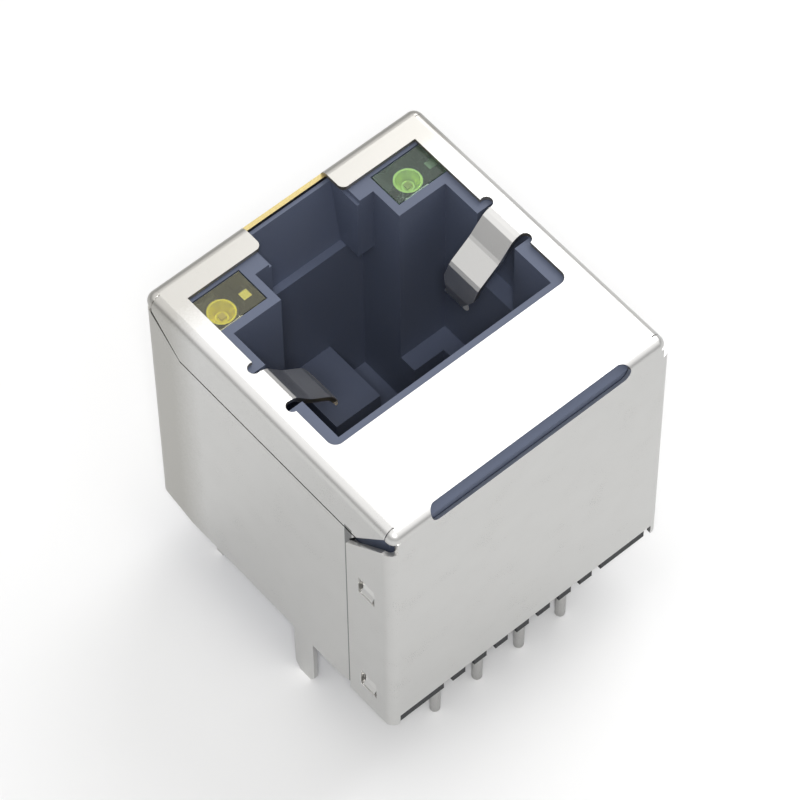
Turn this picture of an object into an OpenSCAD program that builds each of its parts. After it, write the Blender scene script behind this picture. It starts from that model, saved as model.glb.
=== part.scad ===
// Upright board jack for an eight-way modular plug: a folded metal shield
// over a moulded housing, with two indicator lamps and the line
// transformers inside.  Millimetres.
//
// The origin is the middle of the seating pad on the circuit board.
// +Z is the way the plug comes out, -Y is the closed front panel.

/* [Shield] */
// Width over the two front tabs
shield_w = 16; // [15.8:0.1:17]
// Depth over the front and back panels
shield_d = 16.6; // [16.4:0.1:18]
// Height of the top face above the board
shield_h = 16.25; // [15.75:0.05:18]
// Thickness of the sheet
sheet = 0.22; // [0.16:0.01:0.26]
// Outside radius of the folds
fold_r = 0.5; // [0.42:0.02:0.6]
// Length of every solder leg, lead and pin below the board's top
tail = 3.5; // [3:0.1:4.5]

/* [Top face] */
// Strip of top face between the front panel and the plug opening
front_strip = 5.15; // [5.1:0.05:5.3]
// Plug opening, front to back
mouth_d = 9.95; // [9.8:0.05:10.1]
// Plug opening, side to side, behind the fingers
mouth_w = 12.9; // [12.6:0.1:13.2]
// How much further out the opening goes on each side before the fingers
mouth_flare = 0.16; // [0.05:0.01:0.25]
// Radius of the opening's front corners
mouth_r = 0.45; // [0.2:0.05:0.8]
// Latch notch, side to side
notch_w = 4.55; // [4.4:0.05:4.7]
// Depth of the notch's far edge below the top face
notch_drop = 0.36; // [0.3:0.02:0.42]
// Radius of the notch's two corners
notch_r = 0.35; // [0.2:0.05:0.6]
// Slot that eases the front fold, end to end
slot_l = 11.2; // [8:0.2:12]
// Width of that slot across the fold
slot_w = 0.86; // [0.6:0.02:1]

/* [Spring fingers] */
// Width of a grounding finger
finger_w = 1.95; // [1.5:0.05:2.2]
// Middle of a finger, behind the front edge of the opening
finger_at = 4.05; // [3.8:0.05:4.3]
// Radius of the relief beside a finger's root
relief_r = 0.3; // [0.2:0.02:0.34]
// Length of the finger's middle run
finger_run = 1.3; // [1.1:0.05:1.5]

/* [Sides] */
// Height of the short side flaps
flap_h = 2.62; // [2:0.05:3.2]
// Gap along the flap's lower edge
seam = 0.12; // [0.06:0.02:0.2]
// Length of the front panel's wrap-round tabs
tab_l = 2.85; // [2.5:0.05:3.2]
// Latch window in a tab, along the tab
window_l = 1.04; // [0.8:0.02:1.2]
// Latch window, up and down
window_h = 1.2; // [1:0.05:1.4]
// Middle of the lower window above the board
window_z = 2.45; // [2:0.05:3]
// Distance between the two windows
window_pitch = 8.05; // [7:0.05:8.5]
// Width of a ground leg
leg_w = 1.3; // [1:0.05:1.6]
// Middle of a ground leg behind the front panel
leg_at = 6.43; // [5.6:0.05:9]
// Bare front edge: the front panel stops this far above the board
panel_gap = 1.1; // [0.8:0.05:1.4]

/* [Plug cavity] */
// Cavity, side to side
plug_w = 12; // [11.9:0.02:12.2]
// Cavity, from the contact side to the lamps
plug_d = 6.95; // [6.8:0.05:7.1]
// Front land between the opening's edge and the cavity
front_land = 0.45; // [0.3:0.05:0.6]
// Depth of the plug's stop below the top face
plug_stop = 11.5; // [11:0.1:12.2]
// Keyway, side to side
key_w = 6.7; // [6.3:0.1:6.8]
// Keyway, front to back
key_d = 1.75; // [1.6:0.05:1.9]
// Latch slot, side to side
latch_w = 4.85; // [4.7:0.05:5]
// Depth of the catch shoulders below the top face
catch_at = 4.45; // [4:0.05:5]
// Web behind the latch slot at its top
rear_web = 0.17; // [0.12:0.01:0.3]
// Latch slot's back wall leans in by this much down to the shoulders
rear_lean = 0.62; // [0.4:0.02:0.7]
// Ledge on the back wall level with the shoulders
rear_ledge = 0.4; // [0.2:0.02:0.5]

/* [Lamps] */
// Lens, side to side
lens_w = 3; // [2.8:0.05:3.1]
// Lens, front to back
lens_d = 1.84; // [1.7:0.02:1.9]
// Lens, height
lens_h = 4.2; // [3.6:0.1:5]
// Middle of a lens from the jack's middle plane
lens_x = 5.29; // [5.25:0.01:5.34]
// Distance between the two leads of a lamp
lead_pitch = 2.2; // [2:0.05:2.3]
// Side of a square lead
lead_w = 0.42; // [0.36:0.02:0.5]

/* [Contacts and pins] */
// Distance from one contact to the next
contact_pitch = 1.02; // [1:0.01:1.04]
// Diameter of a contact wire
contact_d = 0.36; // [0.3:0.02:0.42]
// Lean of a contact wire from upright, degrees
contact_lean = 21; // [18:0.5:23]
// Length of a contact wire's straight run in the cavity
contact_run = 8.4; // [7.8:0.1:8.8]
// Distance from one pin to the next across both rows
pin_pitch = 1.27; // [1.2:0.01:1.28]
// Distance between the two rows of pins
row_gap = 2.54; // [2.4:0.02:2.6]
// Front row of pins behind the front panel
front_row = 1.2; // [1.1:0.05:1.4]
// Diameter of a pin
pin_d = 0.5; // [0.4:0.02:0.6]
// Height of the pin base
base_h = 2.2; // [1.8:0.1:2.6]
// Width of a groove in the pin base's comb
groove_w = 0.54; // [0.5:0.02:0.6]

/* [Fits] */
// Clearance between the housing and the shield, and round loose inner pieces
fit = 0.05; // [0.03:0.01:0.08]
// Clearance of a pin or lead in its hole
pin_fit = 0.03; // [0.02:0.01:0.05]

/* [Board seat] */
// Locating posts, diameter
post_d = 3.2; // [2.8:0.05:3.4]
// Locating posts, distance between their middles
post_pitch = 8.89; // [8.4:0.05:9.2]
// Locating posts, length below the board's top
post_l = 3; // [2:0.1:3.2]
// Seating pad, side to side
pad_w = 4; // [3.6:0.1:4.2]
// Seating pad, front to back
pad_d = 5; // [4:0.1:5.4]
// The rest of the housing clears the board by this much
standoff = 0.4; // [0.2:0.05:0.6]

/* [Hidden] */
$fn = 64;
eps = 0.01;

// Planes of the shield
front_y = -shield_d / 2;
back_y = shield_d / 2;
tab_x = shield_w / 2;
lap = 0.03;
side_x = tab_x - sheet - lap;
inner_fold = fold_r - sheet;

// Outline of the plug opening in the top face
mouth_front = front_y + front_strip;
mouth_back = mouth_front + mouth_d;
finger_y = mouth_front + finger_at;
root_x = mouth_w / 2 + 0.12;

// Side sheets: the flap's lower edge, and the slant at its two ends
flap_z = shield_h - flap_h;
flap_front = 0.35;
flap_knee = 2.45;
flap_rear_knee = 2.35;
wing_bottom_cut = 0.5;
wing_front = 0.75;
tab_bottom = 0.45;
window_y = front_y + fold_r + 0.54 + window_l / 2;
corner_gap = 0.34;

// Outer planes of the housing
body_x = side_x - sheet - fit;
body_front = front_y + sheet + fit;
body_back = back_y - sheet - fit;
body_top = shield_h - sheet - fit;
edge_cut = inner_fold;

// Plug cavity and keyway, front to back
cav_front = mouth_front + front_land;
cav_back = cav_front + plug_d;
key_back = cav_back + key_d;
latch_top = body_back - rear_web;
latch_low = latch_top - rear_lean;
lower_back = latch_low - rear_ledge;
floor_z = shield_h - plug_stop;
catch_z = shield_h - catch_at;
notch_web_z = body_top - 0.25;

// The floor steps down to the comb that parts the contact tips
step_y = cav_back - 0.95;
comb_z = floor_z - 1.9;
comb_reach = 4.1;
comb_wall = 0.4;
core_in = 1.3;
core_front = step_y - 0.3;

// Relief behind each finger
finger_pocket_x = root_x + sheet + fit;
finger_pocket_d = finger_w + 0.5;
finger_pocket_z = shield_h - 5.2;

// Locating posts, behind the ground legs
post_y = front_y + leg_at + 3.17;

// Lamps
lens_gap = 0.06;
lens_back = mouth_back - 0.2;
lens_y = lens_back - lens_d / 2;
lens_top = body_top - 0.02;
lens_z = lens_top - lens_h;
cup_shift = -0.22;
post_shift = 0.88;
cup_r = 0.66;
cup_top = lens_top - 0.7;
cup_depth = 0.42;
chip_w = 0.3;
chip_h = 0.12;

// Front compartment for the transformers, and the moulding between it and
// the plug cavity
front_wall = 0.45;
side_wall = 0.7;
roof = 0.7;
partition = 0.95;
room_x = body_x - side_wall;
room_front = body_front + front_wall;
room_back = cav_front - partition;
room_top = body_top - roof;

// Contact insert in its window
insert_w = 8 * contact_pitch + 0.9;
insert_top = shield_h - 2.3;
insert_bottom = insert_top - 7.6;
insert_rim = 0.45;
insert_rim_t = 0.5;
contact_z = insert_top - 0.65;
contact_bend = 0.5;

// Module board
board_t = 0.6;
board_y = (pin_row(1) + pin_row(2)) / 2 - 0.1;
board_w = 2 * room_x - 0.8;
board_foot = base_h + 0.25;
board_top = room_top - 0.6;
rail_h = 0.8;
board_slot = board_t + 2 * pin_fit;

// Pins
pin_top = base_h + rail_h + 1.1;
pin_tip = 0.12;
tooth_h = 0.95;
base_x = tab_x - sheet - 0.42;

// Coils
core_gap = 0.3;
core_t = 0.62;
big_core = 3;
small_core = 2.3;
coil_t = 0.1;

function contact_x(i) = (i - 4.5) * contact_pitch;
function pin_x(i) = (i - 4.5) * pin_pitch;
function pin_row(i) = front_y + front_row + (i % 2 == 1 ? 0 : row_gap);

// Running end points of a strip: each step is [length, degrees downward]
function strip_point(steps, n) = n == 0 ? [0, 0]
    : strip_point(steps, n - 1)
      + steps[n - 1][0] * [-cos(steps[n - 1][1]), -sin(steps[n - 1][1])];

// ---- Shared shapes ----

module both_sides() {
    children();
    mirror([1, 0, 0]) children();
}

// Section of a fold, in the first quadrant
module fold_section() {
    intersection() {
        difference() {
            circle(fold_r);
            circle(inner_fold);
        }
        square(fold_r + 1);
    }
}

// Stands a side outline, drawn as [depth, height], with its outer face at x
module side_sheet(x, t = sheet) {
    translate([x - t, 0, 0]) rotate([90, 0, 90]) linear_extrude(t) children();
}

// Spreads a [depth, height] outline from -w/2 to w/2 along X
module across(w) {
    translate([-w / 2, 0, 0]) rotate([90, 0, 90]) linear_extrude(w) children();
}

// Box between two corners
module box(low, high) {
    translate(low) cube(high - low);
}

// Strip of even thickness along a run of steps
module strip(steps, t) {
    for (n = [1:len(steps)]) {
        translate(strip_point(steps, n - 1)) {
            circle(d = t);
            rotate(180 + steps[n - 1][1]) translate([0, -t / 2]) square([steps[n - 1][0], t]);
        }
    }
    translate(strip_point(steps, len(steps))) circle(d = t);
}

// What is cut away to round a corner of the sheet at the origin
module corner_off(r) {
    difference() {
        translate([-1, -1]) square(r + 1);
        translate([r, r]) circle(r);
        translate([-1, r]) square([1, 1]);
    }
}

// ---- Shield ----

module mouth_outline() {
    back_w = mouth_w;
    front_w = mouth_w + 2 * mouth_flare;
    translate([-back_w / 2, finger_y]) square([back_w, mouth_back - finger_y]);
    difference() {
        translate([-front_w / 2, mouth_front]) square([front_w, finger_y - mouth_front]);
        for (side = [0, 1]) mirror([side, 0]) {
            translate([front_w / 2, mouth_front]) mirror([1, 0]) difference() {
                square(mouth_r);
                translate([mouth_r, mouth_r]) circle(mouth_r);
            }
        }
    }
    for (side = [0, 1], end = [-1, 1]) mirror([side, 0]) {
        translate([root_x, finger_y + end * (finger_w / 2 + relief_r)]) circle(relief_r);
    }
    for (side = [0, 1]) mirror([side, 0]) {
        translate([0, finger_y - finger_w / 2]) square([root_x, finger_w]);
    }
}

module notch_outline() {
    translate([-notch_w / 2, mouth_back - eps]) square([notch_w, back_y - mouth_back + 1]);
    for (side = [0, 1]) mirror([side, 0]) {
        translate([notch_w / 2, mouth_back - eps]) difference() {
            square(notch_r);
            translate([notch_r, notch_r]) circle(notch_r);
        }
    }
}

// Front panel, top face and back panel with the two long folds, as one run
module main_run() {
    top_low = shield_h - sheet;
    flat_front = front_y + fold_r;
    flat_back = back_y - fold_r;
    top_half = side_x - fold_r;
    panel_half = tab_x - fold_r;
    difference() {
        union() {
            box([-top_half, flat_front, top_low], [top_half, flat_back, shield_h]);
            box([-panel_half, front_y, panel_gap],
                [panel_half, front_y + sheet, shield_h - fold_r]);
            box([-top_half, back_y - sheet, 0], [top_half, back_y, shield_h - fold_r]);
            translate([0, flat_front, shield_h - fold_r]) across(2 * panel_half - 0.3)
                mirror([1, 0]) fold_section();
            translate([0, flat_back, shield_h - fold_r]) across(2 * top_half - 0.1)
                fold_section();
        }
        translate([0, 0, top_low - 1]) linear_extrude(3) mouth_outline();
        translate([0, 0, shield_h - notch_drop]) linear_extrude(3) notch_outline();
        front_slot();
    }
}

// Round-ended slot across the front fold
module front_slot() {
    slot_high = 0.46;
    slot_low = 0.74;
    tilt = atan2(slot_low, slot_high);
    reach = (slot_l - slot_w) / 2;
    translate([0, front_y + slot_high / 2, shield_h - slot_low / 2]) rotate([tilt, 0, 0])
        translate([0, 0, -1.2]) linear_extrude(3) {
            square([2 * reach, slot_w], center = true);
            for (end = [-1, 1]) translate([end * reach, 0]) circle(d = slot_w);
        }
}

// Side flap hanging from the top face
module top_flap() {
    z = shield_h - fold_r;
    y0 = front_y + flap_front;
    y1 = back_y - fold_r - 0.1;
    translate([side_x - fold_r, y1, z]) rotate([90, 0, 0])
        linear_extrude(y1 - y0 - 0.25) fold_section();
    side_sheet(side_x) polygon([
        [y0 + 0.25, z + eps], [front_y + flap_knee, flap_z],
        [back_y - flap_rear_knee, flap_z], [y1, z - 0.25], [y1, z + eps]]);
}

// Side wall, folded round from the back panel
module wing() {
    top = flap_z - seam;
    rear_top = shield_h - fold_r - 0.25 - 1.6 * seam;
    fold_y = back_y - fold_r;
    lean = front_y + tab_l + 0.1;
    difference() {
        union() {
            side_sheet(side_x) polygon([
                [front_y + wing_front, wing_bottom_cut], [front_y + tab_l - 0.1, wing_bottom_cut],
                [front_y + tab_l + 0.95, 0], [back_y - 2.3, 0], [fold_y, wing_bottom_cut],
                [fold_y, rear_top], [back_y - flap_rear_knee - 0.04, top],
                [front_y + flap_knee + 0.12, top], [lean, top - 0.6],
                [front_y + wing_front, top - 0.6]]);
            translate([side_x - fold_r, fold_y, wing_bottom_cut])
                linear_extrude(rear_top - wing_bottom_cut) fold_section();
            ground_leg();
        }
        for (z = [window_z, window_z + window_pitch]) lance_cut(z);
    }
    for (z = [window_z, window_z + window_pitch]) barb(z);
}

module ground_leg() {
    y0 = front_y + leg_at - leg_w / 2;
    y1 = front_y + leg_at + leg_w / 2;
    side_sheet(side_x) polygon([
        [y0, -tail + 0.45], [y0 + 0.3, -tail], [y1 - 0.3, -tail], [y1, -tail + 0.45],
        [y1, 0], [y1 + 0.15, 0.15], [y0 - 0.15, 0.15], [y0, 0]]);
}

// Opening left in the wing where a barb is lanced out
module lance_cut(z) {
    half_l = window_l / 2 - 0.12;
    half_h = window_h / 2 - 0.1;
    box([side_x - 1, window_y - half_l, z - half_h], [side_x + 1, window_y + half_l, z + half_h]);
}

// Curved barb that snaps into a tab's window, its free edge downward
module barb(z) {
    w = window_l - 0.3;
    steps = [[0.3, 94], [0.22, 102], [0.22, 112], [0.2, 124]];
    translate([side_x - sheet / 2, window_y + w / 2, z + window_h / 2 - 0.16]) rotate([90, 0, 0])
        linear_extrude(w) strip(steps, sheet * 0.8);
}

// Tab folded round from the front panel, with its two latch windows
module front_tab() {
    z0 = tab_bottom;
    y_low = front_y + tab_l;
    front_top = shield_h - 1.16;
    back_top = shield_h - 3.3;
    difference() {
        union() {
            side_sheet(tab_x) polygon([
                [front_y + fold_r, z0], [y_low, z0], [y_low, back_top],
                [y_low - 0.12, back_top + 0.16], [front_y + fold_r, front_top]]);
            translate([tab_x - fold_r, front_y + fold_r, z0]) mirror([0, 1, 0])
                linear_extrude(front_top - z0) fold_section();
        }
        for (z = [window_z, window_z + window_pitch])
            box([tab_x - 1, window_y - window_l / 2, z - window_h / 2],
                [tab_x + 1, window_y + window_l / 2, z + window_h / 2]);
    }
}

// Spring finger that grounds the plug
module spring_finger() {
    steps = [[0.22, 12], [0.22, 30], [1.05, 50], [0.2, 45], [finger_run, 40],
             [0.2, 50], [0.9, 64], [0.3, 72]];
    bevel = 0.3;
    tip = strip_point(steps, len(steps));
    difference() {
        translate([root_x, finger_y + finger_w / 2, shield_h - sheet / 2]) rotate([90, 0, 0])
            linear_extrude(finger_w) {
                strip(steps, sheet);
                translate([-eps, -sheet / 2]) square([0.3, sheet]);
            }
        for (end = [-1, 1])
            translate([root_x + tip[0], finger_y + end * finger_w / 2, shield_h + tip[1]])
                rotate([0, -20, 0]) rotate([end * 45, 0, 0])
                    cube([3, 2 * bevel, 2 * bevel], center = true);
    }
}

module shield() {
    color("gainsboro") {
        main_run();
        both_sides() {
            top_flap();
            wing();
            front_tab();
            spring_finger();
        }
    }
}

// ---- Housing ----

// Outer block with its edges cut back from the shield's folds
module body_block() {
    intersection() {
        translate([0, 0, standoff]) linear_extrude(body_top - standoff) polygon([
            [-body_x, body_front + edge_cut], [-body_x + edge_cut, body_front],
            [body_x - edge_cut, body_front], [body_x, body_front + edge_cut],
            [body_x, body_back - edge_cut], [body_x - edge_cut, body_back],
            [-body_x + edge_cut, body_back], [-body_x, body_back - edge_cut]]);
        across(shield_w) polygon([
            [body_front, 0], [body_back, 0], [body_back, body_top - edge_cut],
            [body_back - edge_cut, body_top], [body_front + edge_cut, body_top],
            [body_front, body_top - edge_cut]]);
        translate([0, body_back, 0]) rotate([90, 0, 0])
            linear_extrude(body_back - body_front) polygon([
            [-body_x, 0], [body_x, 0], [body_x, body_top - edge_cut],
            [body_x - edge_cut, body_top], [-body_x + edge_cut, body_top],
            [-body_x, body_top - edge_cut]]);
    }
}

// Plug cavity, keyway and latch slot
module plug_space() {
    up = body_top + 1;
    box([-plug_w / 2, cav_front, floor_z], [plug_w / 2, cav_back, up]);
    box([-key_w / 2, cav_back - eps, floor_z], [key_w / 2, key_back, up]);
    box([-key_w / 2, key_back - eps, floor_z], [key_w / 2, lower_back, catch_z]);
    across(latch_w) polygon([
        [key_back - eps, catch_z - eps], [latch_low, catch_z - eps],
        [latch_top, body_top], [latch_top, up], [key_back - eps, up]]);
    box([-plug_w / 2 + 0.9, cav_front, comb_z], [plug_w / 2 - 0.9, step_y, floor_z + eps]);
    both_sides() {
        box([core_in, core_front, -1], [key_w / 2, lower_back, floor_z + eps]);
        box([0, finger_y - finger_pocket_d / 2, finger_pocket_z],
            [finger_pocket_x, finger_y + finger_pocket_d / 2, up]);
    }
}

// Walls that keep the contact tips apart
module tip_comb() {
    for (i = [0:8]) {
        x = (i - 4) * contact_pitch;
        box([x - comb_wall / 2, cav_front - eps, comb_z - eps],
            [x + comb_wall / 2, cav_front + comb_reach, floor_z - 0.15]);
    }
}

// Pocket for one lens, with the holes for its two leads below
module lamp_pocket(side) {
    half_w = lens_w / 2 + lens_gap;
    half_d = lens_d / 2 + lens_gap;
    hole = lead_w + 2 * pin_fit;
    translate([side * lens_x, lens_y, 0]) {
        box([-half_w, -half_d, lens_z - lens_gap], [half_w, half_d, body_top + 1]);
        for (end = [-1, 1]) translate([end * lead_pitch / 2 - hole / 2, -hole / 2, -1])
            cube([hole, hole, lens_z + 2]);
    }
}

// Room for the transformers, open at the bottom, with the insert's window
module transformer_room() {
    box([-room_x, room_front, -1], [room_x, room_back, room_top]);
    box([-shield_w, front_y, -1], [shield_w, room_back + fit, base_h + fit]);
    box([-insert_w / 2 - fit, room_back - eps, insert_bottom - fit],
        [insert_w / 2 + fit, cav_front + eps, insert_top + fit]);
}

module housing() {
    color("darkslategray") {
        difference() {
            body_block();
            plug_space();
            transformer_room();
            for (side = [-1, 1]) lamp_pocket(side);
            box([-notch_w / 2 - 0.3, key_back, notch_web_z], [notch_w / 2 + 0.3, back_y, body_top + 1]);
        }
        tip_comb();
        box([-pad_w / 2, -pad_d / 2, 0], [pad_w / 2, pad_d / 2, standoff + eps]);
        both_sides() translate([post_pitch / 2, post_y, 0]) {
            translate([0, 0, -post_l + 0.3]) cylinder(d = post_d, h = post_l - 0.3 + standoff + eps);
            translate([0, 0, -post_l]) cylinder(d1 = post_d - 0.6, d2 = post_d, h = 0.3);
        }
    }
}

// ---- Contact insert and contacts ----

module contact_insert() {
    color("dimgray") difference() {
        union() {
            box([-insert_w / 2, room_back, insert_bottom], [insert_w / 2, cav_front, insert_top]);
            box([-insert_w / 2 - insert_rim, room_back - fit - insert_rim_t,
                 insert_bottom - insert_rim],
                [insert_w / 2 + insert_rim, room_back - fit, insert_top + insert_rim]);
            box([-insert_w / 2, room_back - fit - eps, insert_bottom],
                [insert_w / 2, room_back + eps, insert_top]);
        }
        for (i = [1:8]) translate([contact_x(i), 0, contact_z]) {
            translate([0, room_back - 1, 0]) rotate([-90, 0, 0])
                cylinder(d = contact_d + 2 * pin_fit, h = partition + 2);
            groove = contact_d + 0.2;
            box([-groove / 2, cav_front - 0.45, insert_bottom - contact_z - 1],
                [groove / 2, cav_front + 1, -0.5]);
        }
    }
}

// Spring wire: straight through the insert, round a bend, down the cavity
module contact(i) {
    turn = 90 - contact_lean;
    bend_y = cav_front + 0.1;
    tail_y = board_y - board_t / 2 - 0.3;
    color("gold") translate([contact_x(i), 0, contact_z]) {
        translate([0, tail_y, 0]) rotate([-90, 0, 0]) cylinder(d = contact_d, h = bend_y - tail_y);
        translate([0, bend_y, -contact_bend]) {
            rotate([90, 0, 90]) rotate([0, 0, 90 - turn])
                rotate_extrude(angle = turn) translate([contact_bend, 0]) circle(d = contact_d);
            translate([0, contact_bend * cos(contact_lean), contact_bend * sin(contact_lean)])
                rotate([180 + contact_lean, 0, 0]) {
                    cylinder(d = contact_d, h = contact_run);
                    translate([0, 0, contact_run]) sphere(d = contact_d);
                }
        }
    }
}

// ---- Module board and what it carries ----

module module_board() {
    color("seagreen") difference() {
        box([-board_w / 2, board_y - board_t / 2, board_foot],
            [board_w / 2, board_y + board_t / 2, board_top]);
        for (i = [1:8]) translate([contact_x(i), board_y - board_t, contact_z])
            rotate([-90, 0, 0]) cylinder(d = contact_d + 2 * pin_fit, h = 2 * board_t);
    }
}

// Places one coil of each kind: four across, big ones above the small ones
module each_coil(size, z) {
    for (n = [0:3])
        translate([(n - 1.5) * (size + core_gap), board_y - board_t / 2 - 0.02, z])
            rotate([90, 0, 0]) children();
}

module core_ring(size) {
    rotate_extrude() translate([size * 0.24, 0]) square([size * 0.26 - coil_t, core_t - 2 * coil_t]);
}

// Two stretches of winding over a ring
module winding(size) {
    inner = size * 0.24;
    outer = size / 2 - coil_t;
    gap = 0.01;
    for (turn = [25, 205]) rotate(turn) rotate_extrude(angle = 130) difference() {
        translate([inner - coil_t, -coil_t]) square([outer - inner + 2 * coil_t, core_t]);
        translate([inner - gap, -gap])
            square([outer - inner + 2 * gap, core_t - 2 * coil_t + 2 * gap]);
    }
}

big_z = base_h + 7;
small_z = base_h + 3.9;

module transformer_cores() {
    color("darkgreen") each_coil(big_core, big_z) translate([0, 0, coil_t]) core_ring(big_core);
}

module transformer_windings() {
    color("chocolate") each_coil(big_core, big_z) translate([0, 0, coil_t]) winding(big_core);
}

module choke_cores() {
    color("dimgray") each_coil(small_core, small_z) translate([0, 0, coil_t]) core_ring(small_core);
}

module choke_windings() {
    color("firebrick") each_coil(small_core, small_z) translate([0, 0, coil_t]) winding(small_core);
}

module line_resistors() {
    chip = [0.8, 0.4, 1.6];
    color("black") for (n = [0:3])
        translate([(n - 1.5) * 1.5 - chip[0] / 2, board_y + board_t / 2, base_h + 1.4]) cube(chip);
}

module surge_capacitor() {
    chip = [3.2, 0.8, 1.6];
    color("tan") translate([3.3, board_y + board_t / 2, base_h + 1.4]) cube(chip);
}

// ---- Pin base and pins ----

module pin_base() {
    color("dimgray") difference() {
        union() {
            box([-base_x, body_front, 0], [base_x, room_back, base_h]);
            box([-room_x + fit, room_front + fit, base_h - eps],
                [room_x - fit, room_back - fit, base_h + rail_h]);
        }
        for (i = [1:8]) {
            translate([pin_x(i), pin_row(i), -1])
                cylinder(d = pin_d + 2 * pin_fit, h = base_h + rail_h + 2);
            box([pin_x(i) - groove_w / 2, body_front - 1, -1],
                [pin_x(i) + groove_w / 2, pin_row(i), tooth_h]);
        }
        box([-board_w / 2 - pin_fit, board_y - board_slot / 2, board_foot - pin_fit],
            [board_w / 2 + pin_fit, board_y + board_slot / 2, base_h + rail_h + 1]);
        box([-room_x, room_front, base_h + 0.25], [room_x, board_y - board_t, base_h + rail_h + 1]);
    }
}

module pin(i) {
    color("silver") translate([pin_x(i), pin_row(i), 0]) {
        translate([0, 0, -tail + pin_tip]) cylinder(d = pin_d, h = tail - pin_tip + pin_top);
        translate([0, 0, -tail]) cylinder(d1 = pin_d - 0.2, d2 = pin_d, h = pin_tip);
    }
}

// ---- Lamps ----

module lens(side) {
    slot = lead_w + 2 * 0.02;
    difference() {
        translate([side * lens_x, lens_y, lens_z])
            translate([-lens_w / 2, -lens_d / 2, 0]) cube([lens_w, lens_d, lens_h]);
        translate([side * lens_x, lens_y, 0]) {
            cup_room(0.02);
            post_room(0.02);
        }
    }
}

// Room for the cup lead inside the lens, larger than the lead by a small gap
module cup_room(gap) {
    head = cup_top + gap;
    x = -lead_pitch / 2;
    box([x - lead_w / 2 - gap, -lead_w / 2 - gap, lens_z - 1],
        [x + lead_w / 2 + gap, lead_w / 2 + gap, cup_top - 0.6]);
    box([x - lead_w / 2 - gap, -lead_w / 2 - gap, cup_top - 1.3],
        [cup_shift + gap, lead_w / 2 + gap, cup_top - 0.5]);
    translate([cup_shift, 0, cup_top - 0.85]) cylinder(r = cup_r + gap, h = 0.85 + gap);
}

module post_room(gap) {
    x = lead_pitch / 2;
    box([x - lead_w / 2 - gap, -lead_w / 2 - gap, lens_z - 1],
        [x + lead_w / 2 + gap, lead_w / 2 + gap, cup_top + 0.1 + gap]);
}

module cup_lead(side) {
    x = -lead_pitch / 2;
    color("silver") translate([side * lens_x, lens_y, 0]) difference() {
        union() {
            box([x - lead_w / 2, -lead_w / 2, -tail], [x + lead_w / 2, lead_w / 2, cup_top - 0.6]);
            box([x - lead_w / 2, -lead_w / 2, cup_top - 1.28],
                [cup_shift, lead_w / 2, cup_top - 0.5]);
            translate([cup_shift, 0, cup_top - 0.83]) cylinder(r = cup_r, h = 0.83);
        }
        translate([cup_shift, 0, cup_top - cup_depth])
            cylinder(r1 = 0.3, r2 = cup_r - 0.08, h = cup_depth + eps);
    }
}

module post_lead(side) {
    x = lead_pitch / 2;
    color("silver") translate([side * lens_x, lens_y, 0])
        box([x - lead_w / 2, -lead_w / 2, -tail], [x + lead_w / 2, lead_w / 2, cup_top + 0.1]);
}

module chip(side) {
    color("white") translate([side * lens_x + cup_shift, lens_y, cup_top - cup_depth])
        translate([-chip_w / 2, -chip_w / 2, 0]) cube([chip_w, chip_w, chip_h]);
}

// ---- Nodes ----

shield();
housing();
contact_insert();
for (i = [1:8]) contact(i);
module_board();
transformer_cores();
transformer_windings();
choke_cores();
choke_windings();
line_resistors();
surge_capacitor();
pin_base();
for (i = [1:8]) pin(i);
color("olive") lens(-1);  // yellow_lens
cup_lead(-1);  // yellow_cup_lead
post_lead(-1);  // yellow_post_lead
chip(-1);  // yellow_chip
color("seagreen") lens(1);  // green_lens
cup_lead(1);  // green_cup_lead
post_lead(1);  // green_post_lead
chip(1);  // green_chip
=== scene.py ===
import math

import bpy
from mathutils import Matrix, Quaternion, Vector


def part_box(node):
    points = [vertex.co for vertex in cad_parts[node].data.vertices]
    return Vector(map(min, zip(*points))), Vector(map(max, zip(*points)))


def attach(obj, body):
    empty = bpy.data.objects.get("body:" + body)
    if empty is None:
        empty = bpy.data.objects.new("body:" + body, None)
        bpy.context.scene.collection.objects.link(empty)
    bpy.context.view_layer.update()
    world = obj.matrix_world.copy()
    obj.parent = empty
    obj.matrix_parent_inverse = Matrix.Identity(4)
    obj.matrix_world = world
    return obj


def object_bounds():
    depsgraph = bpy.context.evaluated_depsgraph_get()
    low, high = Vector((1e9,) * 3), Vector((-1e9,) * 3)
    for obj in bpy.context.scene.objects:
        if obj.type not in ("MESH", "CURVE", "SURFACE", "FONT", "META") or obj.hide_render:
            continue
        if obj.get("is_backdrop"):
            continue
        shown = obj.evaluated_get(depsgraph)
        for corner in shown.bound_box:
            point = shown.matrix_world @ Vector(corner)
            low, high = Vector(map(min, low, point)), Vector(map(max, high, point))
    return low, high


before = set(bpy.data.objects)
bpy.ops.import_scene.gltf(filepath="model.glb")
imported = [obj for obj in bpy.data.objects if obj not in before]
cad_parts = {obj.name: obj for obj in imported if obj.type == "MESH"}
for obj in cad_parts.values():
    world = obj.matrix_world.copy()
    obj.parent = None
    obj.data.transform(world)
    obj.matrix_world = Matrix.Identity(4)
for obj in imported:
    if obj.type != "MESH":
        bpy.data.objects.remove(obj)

# Upright modular jack for a circuit board, standing on its solder tails on a
# pale table. All lengths are metres, and the origin is the middle of the
# seating pad where it meets the board.

mm = 0.001
cad_low, cad_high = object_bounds()


# ---- Table, light and camera ----
# A sheet of white card on a table, lit by a white room and one large soft lamp
# on the right, so that the shadow falls softly to the left. The camera stands
# high over the near left corner of the jack, with a small lamp beside it.

TABLE_REACH = 0.9
ROOM_LIGHT = 0.62
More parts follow.
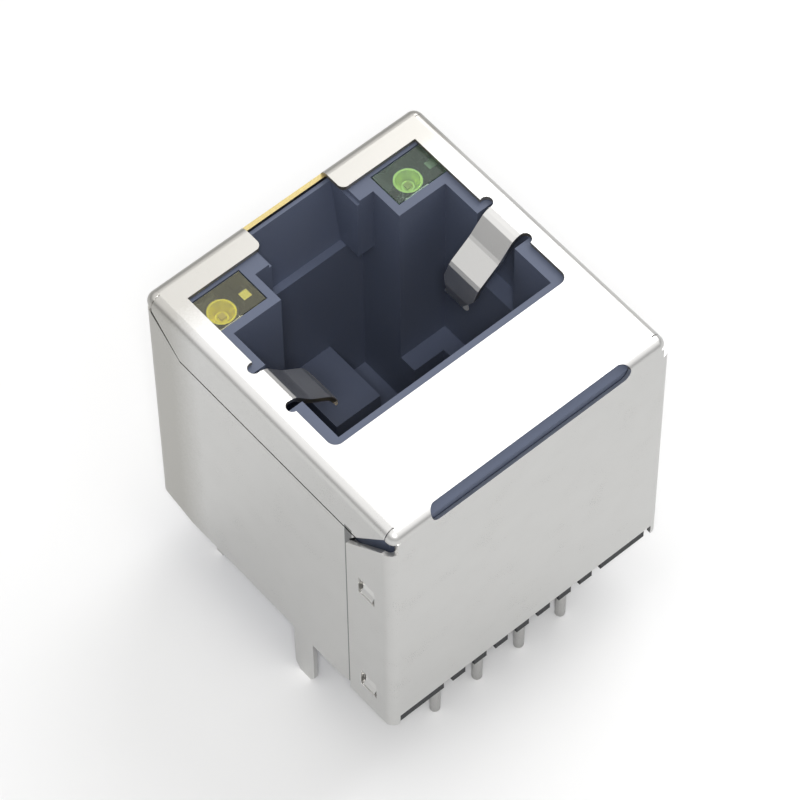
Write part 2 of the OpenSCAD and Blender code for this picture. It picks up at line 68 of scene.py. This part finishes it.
# How light the room's walls look in metal, from the horizon up.
WALL_GREYS = ((0.0, 0.42), (0.25, 0.40), (0.46, 0.70), (0.70, 1.0))
LAMP_SIZE = 0.55
LAMP_POWER = 1.55
FILL_SIZE = 0.10
FILL_REACH = 0.6
LAMP_PLACE = (0.42, 0.08, 0.50)
FILL_POWER = 1.3
EYE_TURN = -40.066
EYE_HEIGHT = 57.287
EYE_ROLL = -0.728
EYE_DISTANCE = 209.64 * mm
EYE_AIM = Vector((4.460, 5.681, -1.652)) * mm
EYE_LENS = 200.46


class Socket:
    """An output socket of a finish, with ordinary arithmetic on its values."""

    def __init__(self, finish, plug):
        self.finish, self.plug = finish, plug

    def sums(self, operation, *terms):
        return self.finish.node(
            "ShaderNodeMath", {"operation": operation}, dict(enumerate(terms)))

    def __add__(self, other):
        return self.sums("ADD", self, other)

    def __radd__(self, other):
        return self.sums("ADD", other, self)

    def __sub__(self, other):
        return self.sums("SUBTRACT", self, other)

    def __rsub__(self, other):
        return self.sums("SUBTRACT", other, self)

    def __mul__(self, other):
        return self.sums("MULTIPLY", self, other)

    def __rmul__(self, other):
        return self.sums("MULTIPLY", other, self)

    def __truediv__(self, other):
        return self.sums("DIVIDE", self, other)

    def __gt__(self, other):
        return self.sums("GREATER_THAN", self, other)

    def __lt__(self, other):
        return self.sums("LESS_THAN", self, other)

    def out(self, name):
        return Socket(self.finish, self.plug.node.outputs[name])


class Finish:
    """The node tree of one material or of the world."""

    def __init__(self, name, owner=None):
        self.owner = owner or bpy.data.materials.new(name)
        self.owner.use_nodes = True
        self.tree = self.owner.node_tree
        self.shader = self.tree.nodes.get("Principled BSDF")

    def node(self, kind, settings=None, sockets=None):
        made = self.tree.nodes.new(kind)
        for key, setting in (settings or {}).items():
            if key == "stops":
                ramp = made.color_ramp.elements
                while len(ramp) < len(setting):
                    ramp.new(0.5)
                for stop, (place, colour) in zip(ramp, setting):
                    stop.position, stop.color = place, (*colour, 1.0)
            else:
                setattr(made, key, setting)
        self.join(made, sockets or {})
        shown = [plug for plug in made.outputs if plug.enabled]
        return Socket(self, shown[0])

    def join(self, node, sockets):
        for key, value in sockets.items():
            plug = node.inputs[key]
            if isinstance(value, Socket):
                self.tree.links.new(value.plug, plug)
            elif plug.type == "RGBA" and len(value) == 3:
                plug.default_value = (*value, 1.0)
            else:
                plug.default_value = value

    def shade(self, sockets):
        self.join(self.shader, sockets)

    def place(self):
        return self.node("ShaderNodeTexCoord").out("Object")

    def grain(self, size, detail=2.0, stretch=(1, 1, 1), rough=0.5):
        spread = self.node("ShaderNodeMapping", {}, {"Vector": self.place(), "Scale": stretch})
        return self.node("ShaderNodeTexNoise", {}, {
            "Vector": spread, "Scale": 1 / size, "Detail": detail, "Roughness": rough})

    def blend(self, factor, first, second, mode="MIX"):
        made = self.node("ShaderNodeMix", {"data_type": "RGBA", "blend_type": mode}, {0: factor})
        self.join(made.plug.node, {6: first, 7: second})
        return Socket(self, made.plug.node.outputs[2])

    def ramp(self, factor, *stops):
        return self.node("ShaderNodeValToRGB", {"stops": stops}, {"Fac": factor})

    def relief(self, height, depth, strength=1.0):
        return self.node("ShaderNodeBump", {}, {
            "Height": height, "Distance": depth, "Strength": strength})

    def dress(self, *names):
        for name in names:
            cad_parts[name].data.materials.clear()
            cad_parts[name].data.materials.append(self.owner)


def alone(thing):
    bpy.ops.object.select_all(action="DESELECT")
    thing.select_set(True)
    bpy.context.view_layer.objects.active = thing


def level(thing):
    """Moves a piece's place, turn and size into its mesh."""
    alone(thing)
    bpy.ops.object.transform_apply(location=True, rotation=True, scale=True)


def seen(finish):
    """1 for what the camera sees directly, in metal or through glass."""
    path = finish.node("ShaderNodeLightPath")
    straight = path.out("Is Camera Ray")
    straight = straight.sums("MAXIMUM", straight, path.out("Is Glossy Ray"))
    return straight.sums("MAXIMUM", straight, path.out("Is Transmission Ray"))


bpy.ops.object.select_all(action="DESELECT")
bpy.ops.mesh.primitive_plane_add(size=2 * TABLE_REACH, location=(0, 0, cad_low.z))
table = bpy.context.object
table.name = "table_card"
level(table)
table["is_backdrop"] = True
card = Finish("white_card")
fibres = card.grain(0.9 * mm, 3)
card.shade({
    "Base Color": card.blend(fibres, (0.880, 0.881, 0.883), (0.900, 0.901, 0.903)),
    "Roughness": 0.9,
    "Specular IOR Level": 0.1,
    "Normal": card.relief(fibres, 0.01 * mm, 0.4)})
table.data.materials.append(card.owner)
straight = card.node("ShaderNodeLightPath").out("Is Camera Ray")
lift = card.node("ShaderNodeBsdfDiffuse", {}, {
    "Color": card.blend(straight, (0.60, 0.605, 0.605), (0.90, 0.90, 0.90))})
matt = Socket(card, card.shader.outputs[0])
card_mix = card.node("ShaderNodeMixShader", {}, {0: seen(card), 1: matt, 2: lift})
card.join(card.tree.nodes["Material Output"], {"Surface": card_mix})

world = bpy.data.worlds.new("white_room")
bpy.context.scene.world = world
room = Finish("white_room", world)
room_light = room.node("ShaderNodeBackground", {}, {
    "Color": (1.0, 0.998, 0.994), "Strength": ROOM_LIGHT})
facing = room.node("ShaderNodeTexCoord").out("Generated")
climb = room.node("ShaderNodeSeparateXYZ", {}, {0: facing}).out("Z")
walls = room.ramp(climb, *[(height, (grey, grey, grey)) for height, grey in WALL_GREYS])
direct = room.node("ShaderNodeLightPath").out("Is Camera Ray")
room_seen = room.node("ShaderNodeBackground", {}, {
    "Color": room.blend(direct, walls, (1.0, 1.0, 1.0))})
room_mix = room.node("ShaderNodeMixShader", {}, {0: seen(room), 1: room_light, 2: room_seen})
room.join(room.tree.nodes["World Output"], {"Surface": room_mix})

bpy.ops.object.light_add(type="AREA", location=LAMP_PLACE)
lamp = bpy.context.object
lamp.name = "soft_lamp"
lamp.data.shape = "DISK"
lamp.data.size = LAMP_SIZE
lamp.data.energy = LAMP_POWER
lamp.rotation_euler = (-lamp.location).to_track_quat("-Z", "Y").to_euler()

turn, rise = math.radians(EYE_TURN), math.radians(EYE_HEIGHT)
back = Vector((math.sin(turn) * math.cos(rise), -math.cos(turn) * math.cos(rise), math.sin(rise)))
bpy.ops.object.camera_add(location=EYE_AIM + back * EYE_DISTANCE)
eye = bpy.context.object
eye.name = "eye"
eye.rotation_mode = "QUATERNION"
roll = Quaternion((0, 0, 1), math.radians(EYE_ROLL))
eye.rotation_quaternion = (-back).to_track_quat("-Z", "Y") @ roll
eye.data.lens = EYE_LENS
eye.data.clip_start, eye.data.clip_end = 0.01, 10
bpy.context.scene.camera = eye
# The small lamp reaches down into the plug cavity.
bpy.ops.object.light_add(type="AREA", location=EYE_AIM + back * FILL_REACH)
fill = bpy.context.object
fill.name = "fill_lamp"
fill.data.shape = "DISK"
fill.data.size = FILL_SIZE
fill.data.energy = FILL_POWER
fill.rotation_euler = (-back).to_track_quat("-Z", "Y").to_euler()
bpy.context.scene.view_settings.view_transform = "Standard"


# ---- Housing ----
# One injection moulding in dark slate-blue thermoplastic. The plug cavity,
# keyway, latch slot, lamp pockets and seating posts are all part of it.

SLATE_LIT = (0.112, 0.130, 0.180)
SLATE_DEEP = (0.096, 0.118, 0.188)

slate = Finish("slate_moulding")
cloud = slate.grain(2.6 * mm, 2)
spark = slate.grain(0.07 * mm, 3, rough=0.65)
slate.shade({
    "Base Color": slate.blend(cloud * 0.6 + spark * 0.4, SLATE_DEEP, SLATE_LIT),
    "Roughness": 0.40 + spark * 0.18,
    "Specular IOR Level": 0.5,
    "Normal": slate.relief(spark + cloud * 0.5, 0.006 * mm, 0.5)})
slate.dress("housing")

# Two thin slate sheets close the foot of the two core pockets, so that the table under the jack does not
# show through them: dark sheets put in as painted shade for the jack's shadow there.
CORE_IN, CORE_OUT = 1.25 * mm, 3.4 * mm
CORE_FRONT, CORE_BACK = 2.95 * mm, 6.9 * mm
SHADE_SHEET_LOW, SHADE_SHEET_TOP = 0.6 * mm, 1.4 * mm
for side, word in ((-1, "left"), (1, "right")):
    bpy.ops.object.select_all(action="DESELECT")
    bpy.ops.mesh.primitive_cube_add(size=1, location=(
        side * (CORE_IN + CORE_OUT) / 2, (CORE_FRONT + CORE_BACK) / 2, (SHADE_SHEET_LOW + SHADE_SHEET_TOP) / 2))
    shade_sheet = bpy.context.object
    shade_sheet.name = f"core_shade_sheet_{word}"
    shade_sheet.scale = (CORE_OUT - CORE_IN, CORE_BACK - CORE_FRONT, SHADE_SHEET_TOP - SHADE_SHEET_LOW)
    level(shade_sheet)
    shade_sheet.data.materials.append(slate.owner)
    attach(shade_sheet, "root")


# ---- Contact insert and contacts ----
# The insert is a smaller moulding in black thermoplastic, pressed into its
# window. The eight contacts are spring wire, plated with gold over nickel.

black = Finish("black_moulding")
speck = black.grain(0.06 * mm, 3)
black.shade({
    "Base Color": black.blend(speck, (0.016, 0.017, 0.019), (0.030, 0.031, 0.034)),
    "Roughness": 0.42 + speck * 0.2,
    "Normal": black.relief(speck, 0.005 * mm, 0.5)})
black.dress("contact_insert", "pin_base")

gold = Finish("gold_plate")
drawn = gold.grain(0.05 * mm, 2, stretch=(1, 0.12, 0.12))
gold.shade({
    "Base Color": gold.blend(drawn, (0.94, 0.66, 0.25), (1.0, 0.76, 0.36)),
    "Metallic": 1.0,
    "Roughness": 0.20 + drawn * 0.14,
    "Normal": gold.relief(drawn, 0.002 * mm, 0.4)})
gold.dress(*[f"contact_{n}" for n in range(1, 9)])


# ---- Module board and line transformers ----
# A small glass-epoxy board stands in the front compartment. It carries ring
# cores wound with enamelled wire, four resistors and one capacitor.

laminate = Finish("green_laminate")
GLASS_THREAD = 0.32 * mm
weave = laminate.node("ShaderNodeTexChecker", {}, {
    "Vector": laminate.place(), "Scale": 1 / GLASS_THREAD}).out("Fac")
murk = laminate.grain(0.5 * mm, 3)
laminate.shade({
    "Base Color": laminate.blend(
        weave * 0.25 + murk * 0.6, (0.012, 0.105, 0.050), (0.026, 0.165, 0.080)),
    "Roughness": 0.30 + murk * 0.15,
    "Coat Weight": 0.5,
    "Normal": laminate.relief(weave, 0.004 * mm, 0.4)})
laminate.dress("module_board")

ferrite = Finish("ferrite")
sinter = ferrite.grain(0.08 * mm, 4, rough=0.7)
ferrite.shade({
    "Base Color": ferrite.blend(sinter, (0.020, 0.021, 0.020), (0.060, 0.062, 0.058)),
    "Roughness": 0.50 + sinter * 0.25,
    "Normal": ferrite.relief(sinter, 0.01 * mm, 0.6)})
ferrite.dress("transformer_cores", "choke_cores")

WIRE = 0.1 * mm
WAVE = 0.32

for coil, deep, bright in (
        ("transformer_windings", (0.30, 0.055, 0.016), (0.62, 0.19, 0.055)),
        ("choke_windings", (0.035, 0.10, 0.030), (0.46, 0.17, 0.05))):
    enamel = Finish("enamel_" + coil)
    strand = enamel.node("ShaderNodeTexWave", {"wave_type": "BANDS", "bands_direction": "DIAGONAL"}, {
        "Vector": enamel.place(), "Scale": WAVE / WIRE, "Distortion": 1.2, "Detail": 1.0})
    strand = strand.out("Fac")
    enamel.shade({
        "Base Color": enamel.blend(strand, deep, bright),
        "Metallic": 0.35,
        "Roughness": 0.25 + strand * 0.1,
        "Coat Weight": 0.6,
        "Normal": enamel.relief(strand, 0.03 * mm, 0.8)})
    enamel.dress(coil)

for chip, body, ends in (
        ("line_resistors", (0.022, 0.022, 0.024), 0.2 * mm),
        ("surge_capacitor", (0.36, 0.235, 0.125), 0.3 * mm)):
    low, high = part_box(chip)
    ceramic = Finish("ceramic_" + chip)
    height = ceramic.node("ShaderNodeSeparateXYZ", {}, {0: ceramic.place()})
    along = height.out("Z") if chip == "line_resistors" else height.out("X")
    axis = 2 if chip == "line_resistors" else 0
    tinned = (along < low[axis] + ends).sums("MAXIMUM", along < low[axis] + ends, along > high[axis] - ends)
    grit = ceramic.grain(0.07 * mm, 3)
    ceramic.shade({
        "Base Color": ceramic.blend(tinned, ceramic.blend(grit, body, tuple(1.5 * c for c in body)),
                                    (0.70, 0.69, 0.67)),
        "Metallic": tinned,
        "Roughness": 0.35 + grit * 0.25,
        "Normal": ceramic.relief(grit, 0.004 * mm, 0.5)})
    ceramic.dress(chip)


# ---- Pins ----
# Round copper wire with a matt tin plating, pressed through the pin base and
# soldered into the module board. The tips turn a little darker towards the table.

tin = Finish("matt_tin")
tinned_low = tin.node("ShaderNodeSeparateXYZ", {}, {0: tin.place()}).out("Z")
frost = tin.grain(0.06 * mm, 3, stretch=(1, 1, 0.35), rough=0.6)
TIP_START, TIP_FADE = -2.9 * mm, 0.6 * mm
tip = (TIP_START - tinned_low) / TIP_FADE
tin.shade({
    "Base Color": tin.blend(frost * 0.6 + tip.sums("MAXIMUM", tip, 0.0) * 0.5,
                            (0.80, 0.79, 0.775), (0.58, 0.57, 0.555)),
    "Metallic": 1.0,
    "Roughness": 0.26 + frost * 0.2,
    "Normal": tin.relief(frost, 0.004 * mm, 0.6)})
tin.dress(*[f"pin_{n}" for n in range(1, 9)])


# ---- Lamps ----
# Each lamp is a block of tinted clear epoxy cast round two square leads. One
# lead ends in a reflector cup that holds the chip, the other in a bare post.

BARE_TIN = (0.72, 0.71, 0.695)
LAMP_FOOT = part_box("yellow_lens")[0].z

for hue, tint, cup_tint, post_tint in (
        ("yellow", (0.93, 0.91, 0.62), (1.0, 0.93, 0.05), (1.0, 0.95, 0.30)),
        ("green", (0.66, 0.87, 0.70), (0.95, 1.0, 0.30), (0.92, 0.97, 0.80))):
    epoxy = Finish(hue + "_epoxy")
    swirl = epoxy.grain(0.8 * mm, 3)
    epoxy.shade({
        "Base Color": epoxy.blend(swirl, tint, tuple(0.86 * c for c in tint)),
        "Roughness": 0.05 + swirl * 0.06,
        "Transmission Weight": 0.92,
        "IOR": 1.51,
        "Normal": epoxy.relief(swirl, 0.006 * mm, 0.3)})
    epoxy.dress(hue + "_lens")
    cup = Finish(hue + "_cup_plating")
    silver = cup.grain(0.08 * mm, 2)
    below = cup.node("ShaderNodeSeparateXYZ", {}, {0: cup.place()}).out("Z") < LAMP_FOOT
    tinted = cup.blend(silver, cup_tint, tuple(0.8 * c for c in cup_tint))
    cup.shade({
        "Base Color": cup.blend(below, tinted, BARE_TIN),
        "Metallic": 0.8,
        "Roughness": 0.25 + silver * 0.2,
        "Normal": cup.relief(silver, 0.004 * mm, 0.5)})
    cup.dress(hue + "_cup_lead")
    post = Finish(hue + "_post_plating")
    silver = post.grain(0.08 * mm, 2)
    below = post.node("ShaderNodeSeparateXYZ", {}, {0: post.place()}).out("Z") < LAMP_FOOT
    tinted = post.blend(silver, post_tint, tuple(0.8 * c for c in post_tint))
    post.shade({
        "Base Color": post.blend(below, tinted, BARE_TIN),
        "Metallic": 0.8,
        "Roughness": 0.25 + silver * 0.2,
        "Normal": post.relief(silver, 0.004 * mm, 0.5)})
    post.dress(hue + "_post_lead")
    die = Finish(hue + "_die")
    facet = die.grain(0.05 * mm, 1)
    die.shade({
        "Base Color": die.blend(facet, (0.55, 0.42, 0.05), (0.85, 0.75, 0.20)),
        "Roughness": 0.3 + facet * 0.2})
    die.dress(hue + "_chip")


# ---- Shield ----
# One blank of brass sheet, nickel plated, then stamped and folded over the
# housing. Where the punch cut through the plating the yellow brass shows.

nickel = Finish("satin_nickel")
rolled = nickel.grain(0.05 * mm, 3, stretch=(1, 1, 1), rough=0.6)
clouds = nickel.grain(1.6 * mm, 3)
TAB_END = -5.45 * mm
WING_OUT = 7.76 * mm
TAB_TOP = 13.8 * mm
CREVICE = 0.38 * mm
GREY_START, GREY_FADE = 4.8 * mm, 1.8 * mm
spot = nickel.node("ShaderNodeSeparateXYZ", {}, {0: nickel.place()})
pepper = nickel.grain(0.11 * mm, 4, rough=0.8)
# The strip at the back turns a darker, speckled grey.
back_grey = (spot.out("Y") - GREY_START) / GREY_FADE + pepper - 0.5
back_grey = back_grey.sums("MAXIMUM", back_grey.sums("MINIMUM", back_grey, 1.0), 0.0)
# Painted shadow: the wing's colour is darkened in a thin band just behind the front tab's edge, where the
# tab shades it.
side = spot.out("X").sums("ABSOLUTE", spot.out("X"))
behind = (spot.out("Y") > TAB_END - CREVICE / 4) * (spot.out("Y") < TAB_END + CREVICE)
shadow = (side < WING_OUT) * behind * (spot.out("Z") < TAB_TOP)
plated = nickel.blend(clouds * 0.7 + rolled * 0.3, (0.80, 0.79, 0.772), (0.865, 0.858, 0.842))
satin = nickel.blend(back_grey, plated, (0.60, 0.585, 0.55))
# The base colour takes the dark grey of the painted shadow in that band.
nickel.shade({
    "Base Color": nickel.blend(shadow, satin, (0.26, 0.26, 0.26)),
    "Metallic": 1.0,
    "Roughness": 0.22 + rolled * 0.10 + clouds * 0.05,
    "Normal": nickel.relief(rolled + clouds * 2.0, 0.0012 * mm, 0.5)})
nickel.dress("shield")

bare = Finish("sheared_edge")
shear = bare.grain(0.05 * mm, 3, rough=0.7)
bare.shade({
    "Base Color": bare.blend(shear, (0.30, 0.27, 0.22), (0.52, 0.49, 0.43)),
    "Metallic": 1.0,
    "Roughness": 0.36 + shear * 0.2,
    "Normal": bare.relief(shear, 0.006 * mm, 0.6)})

brass = Finish("cut_brass")
shear = brass.grain(0.05 * mm, 3, rough=0.7)
brass.shade({
    "Base Color": brass.blend(shear, (0.50, 0.40, 0.17), (0.74, 0.62, 0.30)),
    "Metallic": 1.0,
    "Roughness": 0.34 + shear * 0.2,
    "Normal": brass.relief(shear, 0.006 * mm, 0.6)})

# A face of the shield that lies in none of its sheet planes is a cut edge.
# Only the notch's far edge and the slot's lower edge were cut deep enough for
# the brass to shine, and the outer edges were plated again.
SHEET = 0.22 * mm
TOP = cad_high.z
SIDES = [8.0 * mm, 7.78 * mm, 7.75 * mm, 7.53 * mm]
ENDS = [8.3 * mm, 8.08 * mm]
MOUTH_HALF = 6.9 * mm
FOLD = 1.1 * mm
NEAR = 0.004 * mm
NICKEL, BARE, BRASS = 0, 1, 2
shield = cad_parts["shield"]
shield.data.materials.append(bare.owner)
shield.data.materials.append(brass.owner)
for face in shield.data.polygons:
    spots = [shield.data.vertices[n].co for n in face.vertices]
    middle, facing = face.center, face.normal
    lowest = min(spot.z for spot in spots)
    inner = max(abs(spot.x) for spot in spots) < MOUTH_HALF
    in_sheet = (
        abs(facing.z) > 0.99 and min(abs(middle.z - TOP), abs(middle.z - TOP + SHEET)) < NEAR
        or abs(facing.y) > 0.99 and min(abs(abs(middle.y) - end) for end in ENDS) < NEAR)
    finish = NICKEL
    if inner and lowest > TOP - FOLD and not in_sheet:
        if lowest > TOP - SHEET - NEAR and abs(facing.z) < 0.01:
            finish = BARE
        if abs(middle.y) > ENDS[1] - FOLD / 2 and abs(facing.x) > 0.99:
            finish = BARE
        if middle.y > ENDS[1] - FOLD / 2 and facing.z > 0.99:
            finish = BRASS
        if middle.y < -ENDS[1] + FOLD / 2 and abs(facing.x) < 0.01 and len(spots) > 3:
            finish = BRASS
    face.material_index = finish

# The four top corners are drawn round where three faces of the shield meet.
FOLD_RADIUS = 0.5 * mm
CORNER = Vector((SIDES[2] - FOLD_RADIUS, ENDS[0] - FOLD_RADIUS, TOP - FOLD_RADIUS))
corners = []
for side in (-1, 1):
    for end in (-1, 1):
        bpy.ops.object.select_all(action="DESELECT")
        bpy.ops.mesh.primitive_uv_sphere_add(segments=48, ring_count=24, radius=FOLD_RADIUS)
        ball = bpy.context.object
        bpy.ops.object.mode_set(mode="EDIT")
        for cut in ((side, 0, 0), (0, end, 0), (0, 0, 1)):
            bpy.ops.mesh.select_all(action="SELECT")
            bpy.ops.mesh.bisect(plane_co=(0, 0, 0), plane_no=cut, clear_inner=True)
        bpy.ops.object.mode_set(mode="OBJECT")
        ball.location = (side * CORNER.x, end * CORNER.y, CORNER.z)
        level(ball)
        wall = ball.modifiers.new("wall", "SOLIDIFY")
        wall.thickness, wall.offset = SHEET, -1
        bpy.ops.object.modifier_apply(modifier="wall")
        bpy.ops.object.shade_smooth()
        corners.append(ball)
bpy.ops.object.select_all(action="DESELECT")
for ball in corners:
    ball.select_set(True)
bpy.context.view_layer.objects.active = corners[0]
bpy.ops.object.join()
corners[0].name = "shield_corners"
corners[0].data.materials.append(nickel.owner)
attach(corners[0], "root")

low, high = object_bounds()
